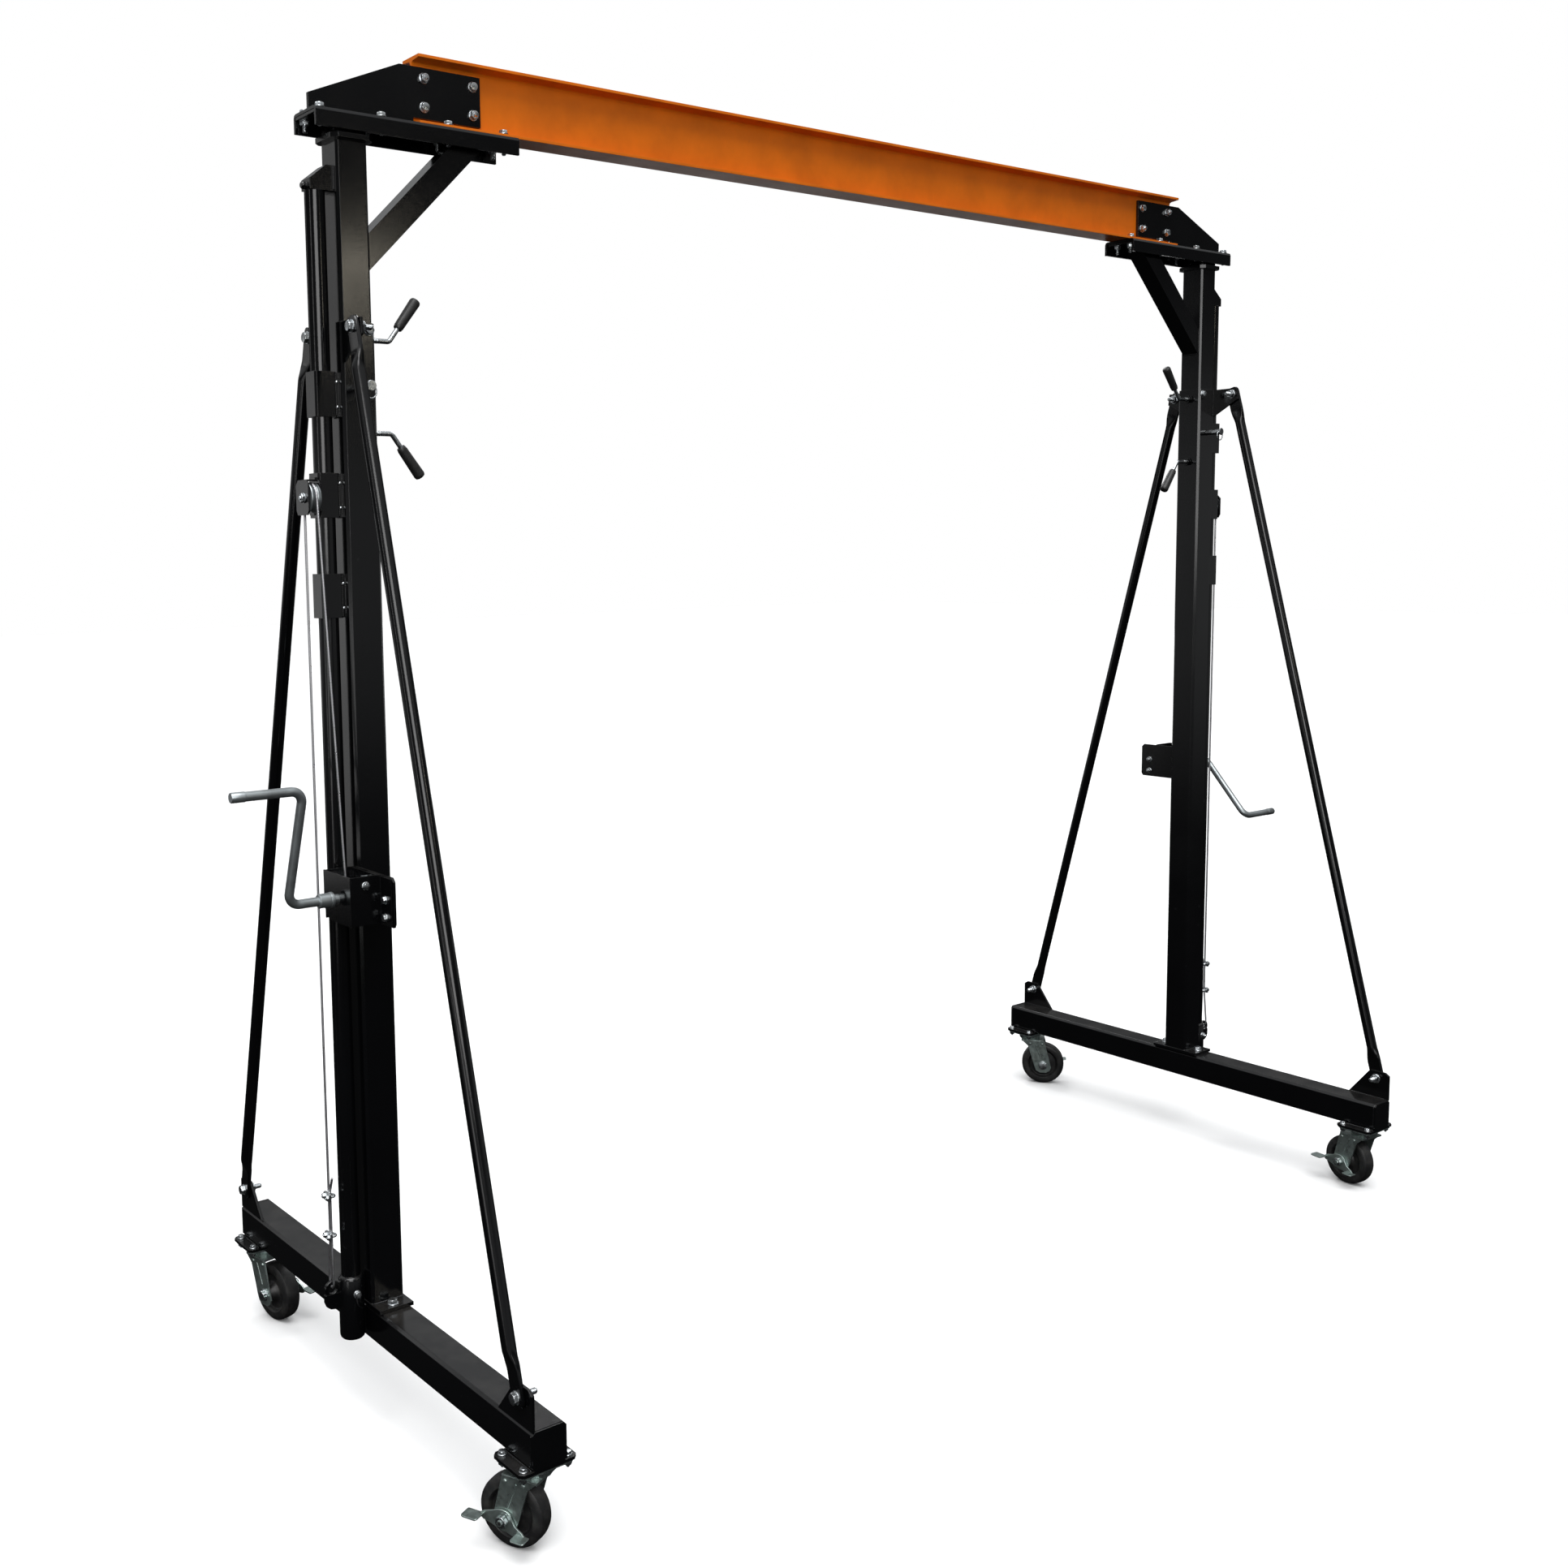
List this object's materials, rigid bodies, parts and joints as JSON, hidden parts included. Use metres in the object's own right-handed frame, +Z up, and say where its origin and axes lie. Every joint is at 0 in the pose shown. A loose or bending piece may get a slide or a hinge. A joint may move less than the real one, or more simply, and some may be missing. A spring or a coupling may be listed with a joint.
{
  "type": "engine hoist crane",
  "caption": "Rolling gantry hoist: an I-beam on telescoping columns, each raised by a hand winch and braced on a base with swivel casters.",
  "frame": {"origin": "on the floor, under the middle of the beam, midway between the two end frames", "axes": "+X along the beam, +Y along the base beams towards the rear, +Z up"},
  "size_m": [3.572, 1.329, 2.884],
  "materials": {
    "frame_paint": "gloss powder coat",
    "beam_paint": "satin paint",
    "zinc_plate": "bright zinc plate",
    "bare_steel": "dull plated steel",
    "wire_rope": "galvanised wire rope",
    "grip_rubber": "matt",
    "wheel_rubber": "matt"
  },
  "bodies": {
    "frame_left": {"base_beam_left": "frame_paint", "outer_column_left": "frame_paint", "brace_front_left": "frame_paint", "brace_rear_left": "frame_paint", "pulley_block_left": "frame_paint", "winch_bracket_left": "frame_paint", "winch_housing_left": "frame_paint", "winding_cable_left": "wire_rope", "lifting_cable_left": "wire_rope", "caster_plate_left_front": "zinc_plate", "caster_plate_left_rear": "zinc_plate"},
    "winch_left": {"winch_drum_left": "bare_steel", "winch_crank_left": "bare_steel"},
    "pulley_left": {"pulley_wheel_left": "bare_steel"},
    "pin_left": {"lock_pin_left": "zinc_plate"},
    "clamp_upper_left": {"clamp_handle_upper_left": "grip_rubber"},
    "clamp_lower_left": {"clamp_handle_lower_left": "grip_rubber"},
    "swivel_left_front": {"caster_fork_left_front": "zinc_plate"},
    "wheel_left_front": {"caster_wheel_left_front": "wheel_rubber"},
    "brake_left_front": {"brake_pedal_left_front": "zinc_plate"},
    "swivel_left_rear": {"caster_fork_left_rear": "zinc_plate"},
    "wheel_left_rear": {"caster_wheel_left_rear": "wheel_rubber"},
    "brake_left_rear": {"brake_pedal_left_rear": "zinc_plate"},
    "frame_right": {"base_beam_right": "frame_paint", "outer_column_right": "frame_paint", "brace_front_right": "frame_paint", "brace_rear_right": "frame_paint", "pulley_block_right": "frame_paint", "winch_bracket_right": "frame_paint", "winch_housing_right": "frame_paint", "winding_cable_right": "wire_rope", "lifting_cable_right": "wire_rope", "caster_plate_right_front": "zinc_plate", "caster_plate_right_rear": "zinc_plate"},
    "winch_right": {"winch_drum_right": "bare_steel", "winch_crank_right": "bare_steel"},
    "pulley_right": {"pulley_wheel_right": "bare_steel"},
    "pin_right": {"lock_pin_right": "zinc_plate"},
    "clamp_upper_right": {"clamp_handle_upper_right": "grip_rubber"},
    "clamp_lower_right": {"clamp_handle_lower_right": "grip_rubber"},
    "swivel_right_front": {"caster_fork_right_front": "zinc_plate"},
    "wheel_right_front": {"caster_wheel_right_front": "wheel_rubber"},
    "brake_right_front": {"brake_pedal_right_front": "zinc_plate"},
    "swivel_right_rear": {"caster_fork_right_rear": "zinc_plate"},
    "wheel_right_rear": {"caster_wheel_right_rear": "wheel_rubber"},
    "brake_right_rear": {"brake_pedal_right_rear": "zinc_plate"},
    "upper": {"i_beam": "beam_paint", "inner_column_left": "frame_paint", "head_channel_left": "frame_paint", "web_plate_left": "frame_paint", "knee_brace_left": "frame_paint", "lift_tube_left": "frame_paint", "cable_anchor_left": "wire_rope", "inner_column_right": "frame_paint", "head_channel_right": "frame_paint", "web_plate_right": "frame_paint", "knee_brace_right": "frame_paint", "lift_tube_right": "frame_paint", "cable_anchor_right": "wire_rope"}
  },
  "joints": [
    {"name": "lift_left", "type": "slide", "parent": "frame_left", "child": "upper", "axis": [0, 0, 1], "range_m": [0, 1.2], "deforming": ["lifting_cable_left"]},
    {"name": "lift_right", "type": "slide", "parent": "upper", "child": "frame_right", "axis": [0, 0, 1], "range_m": [-1.2, 0], "deforming": ["lifting_cable_right"]},
    {"name": "winch_turn_left", "type": "hinge", "parent": "frame_left", "child": "winch_left", "pos_m": [-1.531, -0.095, 1.178], "axis": [1, 0, 0], "range_deg": [-2755, 0]},
    {"name": "pulley_turn_left", "type": "hinge", "parent": "frame_left", "child": "pulley_left", "pos_m": [-1.544, -0.029, 1.983], "axis": [1, 0, 0], "range_deg": [0, 2375]},
    {"name": "pin_slide_left", "type": "slide", "parent": "frame_left", "child": "pin_left", "axis": [0, 1, 0], "range_m": [0, 0.042]},
    {"name": "clamp_turn_upper_left", "type": "hinge", "parent": "frame_left", "child": "clamp_upper_left", "pos_m": [-1.3929, 0, 2.306], "axis": [1, 0, 0], "range_deg": [-90, 90]},
    {"name": "clamp_turn_lower_left", "type": "hinge", "parent": "frame_left", "child": "clamp_lower_left", "pos_m": [-1.3929, 0, 2.118], "axis": [1, 0, 0], "range_deg": [-90, 90]},
    {"name": "swivel_turn_left_front", "type": "hinge", "parent": "frame_left", "child": "swivel_left_front", "pos_m": [-1.431, -0.6125, 0.1705], "axis": [0, 0, 1], "continuous": true},
    {"name": "wheel_roll_left_front", "type": "hinge", "parent": "swivel_left_front", "child": "wheel_left_front", "pos_m": [-1.45002, -0.57172, 0.0705], "axis": [-0.9063, -0.4226, 0], "continuous": true},
    {"name": "brake_press_left_front", "type": "hinge", "parent": "swivel_left_front", "child": "brake_left_front", "pos_m": [-1.45002, -0.57172, 0.0705], "axis": [-0.9063, -0.4226, 0], "range_deg": [0, 20]},
    {"name": "swivel_turn_left_rear", "type": "hinge", "parent": "frame_left", "child": "swivel_left_rear", "pos_m": [-1.431, 0.6125, 0.1705], "axis": [0, 0, 1], "continuous": true},
    {"name": "wheel_roll_left_rear", "type": "hinge", "parent": "swivel_left_rear", "child": "wheel_left_rear", "pos_m": [-1.42319, 0.56818, 0.0705], "axis": [0.9848, 0.1736, 0], "continuous": true},
    {"name": "brake_press_left_rear", "type": "hinge", "parent": "swivel_left_rear", "child": "brake_left_rear", "pos_m": [-1.42319, 0.56818, 0.0705], "axis": [0.9848, 0.1736, 0], "range_deg": [0, 20]},
    {"name": "winch_turn_right", "type": "hinge", "parent": "frame_right", "child": "winch_right", "pos_m": [1.531, 0.095, 1.178], "axis": [-1, 0, 0], "range_deg": [-2755, 0]},
    {"name": "pulley_turn_right", "type": "hinge", "parent": "frame_right", "child": "pulley_right", "pos_m": [1.544, 0.029, 1.983], "axis": [-1, 0, 0], "range_deg": [0, 2375]},
    {"name": "pin_slide_right", "type": "slide", "parent": "frame_right", "child": "pin_right", "axis": [0, 1, 0], "range_m": [0, 0.042]},
    {"name": "clamp_turn_upper_right", "type": "hinge", "parent": "frame_right", "child": "clamp_upper_right", "pos_m": [1.3929, 0, 2.306], "axis": [-1, 0, 0], "range_deg": [-90, 90]},
    {"name": "clamp_turn_lower_right", "type": "hinge", "parent": "frame_right", "child": "clamp_lower_right", "pos_m": [1.3929, 0, 2.118], "axis": [-1, 0, 0], "range_deg": [-90, 90]},
    {"name": "swivel_turn_right_front", "type": "hinge", "parent": "frame_right", "child": "swivel_right_front", "pos_m": [1.431, -0.6125, 0.1705], "axis": [0, 0, 1], "continuous": true},
    {"name": "wheel_roll_right_front", "type": "hinge", "parent": "swivel_right_front", "child": "wheel_right_front", "pos_m": [1.43804, -0.56805, 0.0705], "axis": [-0.9877, 0.1564, 0], "continuous": true},
    {"name": "brake_press_right_front", "type": "hinge", "parent": "swivel_right_front", "child": "brake_right_front", "pos_m": [1.43804, -0.56805, 0.0705], "axis": [-0.9877, 0.1564, 0], "range_deg": [0, 20]},
    {"name": "swivel_turn_right_rear", "type": "hinge", "parent": "frame_right", "child": "swivel_right_rear", "pos_m": [1.431, 0.6125, 0.1705], "axis": [0, 0, 1], "continuous": true},
    {"name": "wheel_roll_right_rear", "type": "hinge", "parent": "swivel_right_rear", "child": "wheel_right_rear", "pos_m": [1.45992, 0.57803, 0.0705], "axis": [0.766, 0.6428, 0], "continuous": true},
    {"name": "brake_press_right_rear", "type": "hinge", "parent": "swivel_right_rear", "child": "brake_right_rear", "pos_m": [1.45992, 0.57803, 0.0705], "axis": [0.766, 0.6428, 0], "range_deg": [0, 20]}
  ],
  "couplings": [
    {"joint": "lift_right", "follows": "lift_left", "ratio": -1},
    {"joint": "winch_turn_left", "follows": "lift_left", "rad_per_m": -40},
    {"joint": "pulley_turn_left", "follows": "lift_left", "rad_per_m": 34.483},
    {"joint": "winch_turn_right", "follows": "lift_left", "rad_per_m": -40},
    {"joint": "pulley_turn_right", "follows": "lift_left", "rad_per_m": 34.483}
  ]
}
